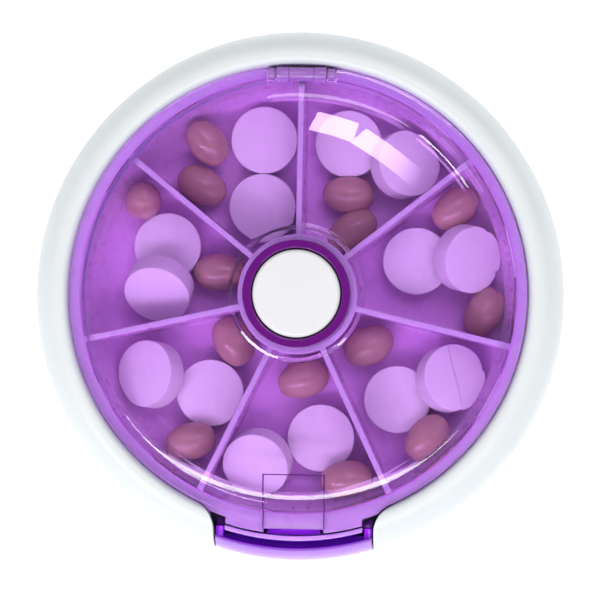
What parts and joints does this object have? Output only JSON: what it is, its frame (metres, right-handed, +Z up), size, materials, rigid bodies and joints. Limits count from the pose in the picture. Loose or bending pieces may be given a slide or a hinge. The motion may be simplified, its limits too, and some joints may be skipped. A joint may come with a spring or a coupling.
{
  "type": "travel pill organizer",
  "caption": "Round flat travel pill organizer: white two-piece shell, violet tray with radial compartments around a central push button, clear violet hinged lid and a front latch button",
  "frame": {"origin": "centre of the flat underside", "axes": "+Z up through the lid, +Y towards the hinge, -Y towards the latch button, +X to the right seen from above with the latch nearest"},
  "size_m": [0.09, 0.09, 0.025],
  "materials": {
    "white_shell": "satin moulded, very fine grain",
    "white_button": "smooth satin",
    "violet_tray": "smooth gloss",
    "clear_violet_lid": "clear tinted, polished",
    "violet_latch": "smooth gloss",
    "grey_acetal": "smooth, slightly waxy",
    "spring_steel": "bright drawn wire and plated screws"
  },
  "bodies": {
    "case": {"base_shell": "white_shell", "bezel_ring": "white_shell", "pill_tray": "violet_tray", "hinge_pin": "spring_steel", "lid_spring": "spring_steel", "button_guide": "grey_acetal", "guide_screw_1": "spring_steel", "guide_screw_2": "spring_steel", "tray_screw_1": "spring_steel", "tray_screw_2": "spring_steel", "tray_screw_3": "spring_steel", "tray_screw_4": "spring_steel", "latch_spring_left": "spring_steel", "latch_spring_right": "spring_steel", "button_spring": "spring_steel"},
    "lid": {"lid": "clear_violet_lid"},
    "latch": {"latch_button": "violet_latch", "latch_link": "grey_acetal"},
    "button": {"centre_button": "white_button", "button_plunger": "grey_acetal", "retaining_clip": "spring_steel"}
  },
  "joints": [
    {"name": "lid_hinge", "type": "hinge", "parent": "case", "child": "lid", "pos_m": [0, 0.0371, 0.0202], "axis": [-1, 0, 0], "range_deg": [0, 100], "deforming": ["lid_spring"]},
    {"name": "button_press", "type": "slide", "parent": "case", "child": "button", "axis": [0, 0, -1], "range_m": [0, 0.0018], "stiffness_N_per_m": 600, "springref_m": -0.0015, "deforming": ["button_spring"]},
    {"name": "latch_press", "type": "slide", "parent": "case", "child": "latch", "axis": [0, 1, 0], "range_m": [0, 0.0009], "deforming": ["latch_spring_left", "latch_spring_right"]}
  ],
  "couplings": [
    {"joint": "latch_press", "follows": "button_press", "ratio": 0.5}
  ]
}
